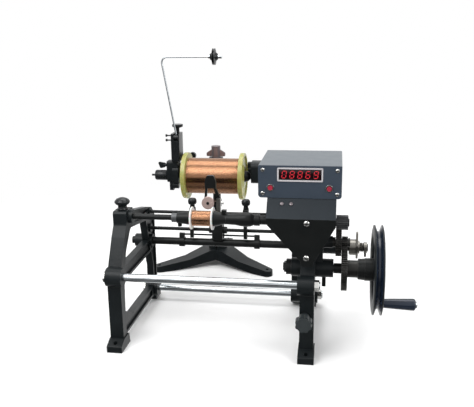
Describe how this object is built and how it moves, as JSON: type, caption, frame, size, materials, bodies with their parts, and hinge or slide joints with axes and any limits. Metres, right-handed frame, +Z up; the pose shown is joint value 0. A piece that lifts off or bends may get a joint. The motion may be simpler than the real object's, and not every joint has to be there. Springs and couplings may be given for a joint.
{
  "type": "wire coil winding machine",
  "caption": "Hand-cranked bench winder: cast stands, geared spindle with a bobbin between cones, turn counter, guide carriage and a separate wire stand.",
  "frame": {"origin": "on the bench, at the centre of the four foot bolts of the winding machine", "axes": "+X to the crank side, +Y to the rear where the wire stand is, +Z up"},
  "size_m": [0.4896, 0.57, 0.444],
  "materials": {
    "black_casting": "semi-gloss black enamel over cast iron",
    "bright_steel": "ground and oiled steel",
    "nickel": "polished nickel plate",
    "black_plastic": "moulded black plastic",
    "gear_steel": "cut steel teeth, lightly oiled",
    "copper": "enamelled copper wire",
    "bobbin_plastic": "moulded natural white plastic",
    "spool_plastic": "moulded amber plastic",
    "wheel_iron": "black enamel, worn bright at the rim",
    "case_paint": "dark blue-grey enamel",
    "panel_paint": "dark blue-grey satin panel",
    "display": "dark red display lens in a black frame",
    "red_button": "moulded red cap",
    "dark_plastic": "moulded black plastic"
  },
  "bodies": {
    "frame": {"left_stand": "black_casting", "right_stand": "black_casting", "tie_rods": "bright_steel", "tie_rod_nuts": "nickel", "crank_boss_screw": "bright_steel", "idler_stud": "bright_steel", "stop_rod": "bright_steel", "guide_rod": "bright_steel", "counter_bracket": "black_casting", "counter_case": "case_paint", "front_panel": "panel_paint", "display_window": "display", "button_switches": "dark_plastic", "counter_screws": "nickel", "count_sensor": "dark_plastic", "stand_base": "black_casting", "stand_post": "bright_steel"},
    "crank": {"crank_shaft": "bright_steel", "crank_gear": "gear_steel", "wheel_hub": "bright_steel", "hand_wheel": "wheel_iron", "handle_pin": "bright_steel"},
    "grip": {"handle_grip": "black_plastic"},
    "idler": {"idler_gear": "gear_steel"},
    "spindle": {"bobbin": "bobbin_plastic", "bobbin_winding": "copper", "right_cone": "bright_steel", "cone_set_screw": "bright_steel", "drive_chuck": "bright_steel", "spindle_shaft": "bright_steel", "magnet_collar": "bright_steel", "spindle_pinion": "gear_steel"},
    "quill": {"tail_quill": "bright_steel"},
    "live_cone": {"left_cone": "bright_steel"},
    "tail_knob": {"tail_lock_knob": "black_plastic"},
    "carriage": {"carriage": "bright_steel", "guide_arm": "bright_steel"},
    "guide_roller": {"guide_pulley": "bright_steel"},
    "left_stop": {"left_stop": "bright_steel"},
    "left_stop_knob": {"left_stop_knob": "black_plastic"},
    "right_stop": {"right_stop": "bright_steel"},
    "right_stop_knob": {"right_stop_knob": "black_plastic"},
    "shift_rail": {"shift_rail": "bright_steel", "trip_rod": "bright_steel", "release_hub": "bright_steel", "rail_spring": "bright_steel", "rail_nut": "bright_steel"},
    "release_lever": {"release_lever": "bright_steel"},
    "leg_knob": {"leg_knob": "black_plastic"},
    "power_button": {"power_button": "red_button"},
    "reset_button": {"reset_button": "red_button"},
    "yoke": {"spool_yoke": "black_casting", "tensioner_case": "dark_plastic"},
    "post_nut": {"post_nut": "black_plastic"},
    "supply": {"spool_axle": "bright_steel", "supply_spool": "spool_plastic", "supply_winding": "copper"},
    "tension_thumb": {"tension_thumb": "bright_steel"},
    "tension_arm": {"tension_arm": "bright_steel"},
    "arm_pulley": {"arm_pulley": "bobbin_plastic"}
  },
  "joints": [
    {"name": "crank_turn", "type": "hinge", "parent": "frame", "child": "crank", "pos_m": [0.246, -0.052, 0.12646], "axis": [1, 0, 0], "continuous": true},
    {"name": "grip_spin", "type": "hinge", "parent": "crank", "child": "grip", "pos_m": [0.28, -0.052, 0.07346], "axis": [1, 0, 0], "continuous": true},
    {"name": "idler_turn", "type": "hinge", "parent": "frame", "child": "idler", "pos_m": [0.193, -0.04743, 0.1662], "axis": [1, 0, 0], "continuous": true},
    {"name": "spindle_turn", "type": "hinge", "parent": "frame", "child": "spindle", "pos_m": [0.1, -0.044, 0.196], "axis": [1, 0, 0], "continuous": true},
    {"name": "live_cone_turn", "type": "hinge", "parent": "quill", "child": "live_cone", "pos_m": [-0.045, -0.044, 0.196], "axis": [1, 0, 0], "continuous": true},
    {"name": "tailstock_slide", "type": "slide", "parent": "frame", "child": "quill", "axis": [-1, 0, 0], "range_m": [0, 0.03]},
    {"name": "tail_knob_turn", "type": "hinge", "parent": "frame", "child": "tail_knob", "pos_m": [-0.145, -0.044, 0.215], "axis": [0, 0, 1], "range_deg": [0, 180]},
    {"name": "carriage_traverse", "type": "slide", "parent": "frame", "child": "carriage", "axis": [1, 0, 0], "range_m": [-0.024, 0.028]},
    {"name": "guide_roller_turn", "type": "hinge", "parent": "carriage", "child": "guide_roller", "pos_m": [-0.0366, 0.091, 0.1849], "axis": [0, 1, 0], "continuous": true},
    {"name": "left_stop_slide", "type": "slide", "parent": "frame", "child": "left_stop", "axis": [1, 0, 0], "range_m": [-0.055, 0]},
    {"name": "right_stop_slide", "type": "slide", "parent": "frame", "child": "right_stop", "axis": [1, 0, 0], "range_m": [0, 0.05]},
    {"name": "left_stop_knob_turn", "type": "hinge", "parent": "left_stop", "child": "left_stop_knob", "pos_m": [-0.062, 0.08, 0.185], "axis": [0, 0, 1], "range_deg": [0, 180]},
    {"name": "right_stop_knob_turn", "type": "hinge", "parent": "right_stop", "child": "right_stop_knob", "pos_m": [0.0315, 0.08, 0.185], "axis": [0, 0, 1], "range_deg": [0, 180]},
    {"name": "shift_rail_slide", "type": "slide", "parent": "frame", "child": "shift_rail", "axis": [1, 0, 0], "range_m": [-0.003, 0.003]},
    {"name": "release_lever_turn", "type": "hinge", "parent": "shift_rail", "child": "release_lever", "pos_m": [0.22, 0.08, 0.117], "axis": [1, 0, 0], "range_deg": [-25, 25]},
    {"name": "leg_knob_turn", "type": "hinge", "parent": "frame", "child": "leg_knob", "pos_m": [0.142, -0.12, 0.067], "axis": [0, 1, 0], "range_deg": [0, 180]},
    {"name": "power_button_press", "type": "slide", "parent": "frame", "child": "power_button", "axis": [0, 1, 0], "range_m": [0, 0.0015], "stiffness_N_per_m": 400},
    {"name": "reset_button_press", "type": "slide", "parent": "frame", "child": "reset_button", "axis": [0, 1, 0], "range_m": [0, 0.0015], "stiffness_N_per_m": 400},
    {"name": "yoke_swivel", "type": "hinge", "parent": "frame", "child": "yoke", "pos_m": [-0.06, 0.3, 0.203], "axis": [0, 0, 1], "range_deg": [-20, 20]},
    {"name": "post_nut_turn", "type": "hinge", "parent": "frame", "child": "post_nut", "pos_m": [-0.06, 0.3, 0.235], "axis": [0, 0, 1], "range_deg": [-180, 0]},
    {"name": "supply_spool_turn", "type": "hinge", "parent": "yoke", "child": "supply", "pos_m": [-0.05, 0.23, 0.203], "axis": [1, 0, 0], "continuous": true},
    {"name": "tension_thumb_turn", "type": "hinge", "parent": "yoke", "child": "tension_thumb", "pos_m": [-0.1215, 0.233, 0.295], "axis": [0, 0, 1], "range_deg": [0, 180]},
    {"name": "tension_arm_swing", "type": "hinge", "parent": "yoke", "child": "tension_arm", "pos_m": [-0.1205, 0.219, 0.279], "axis": [1, 0, 0], "range_deg": [-4, 30], "stiffness_Nm_per_rad": 0.35},
    {"name": "arm_pulley_turn", "type": "hinge", "parent": "tension_arm", "child": "arm_pulley", "pos_m": [-0.0445, 0.219, 0.429], "axis": [1, 0, 0], "continuous": true}
  ],
  "couplings": [
    {"joint": "idler_turn", "follows": "crank_turn", "ratio": -4},
    {"joint": "spindle_turn", "follows": "crank_turn", "ratio": 8},
    {"joint": "live_cone_turn", "follows": "crank_turn", "ratio": 8}
  ]
}
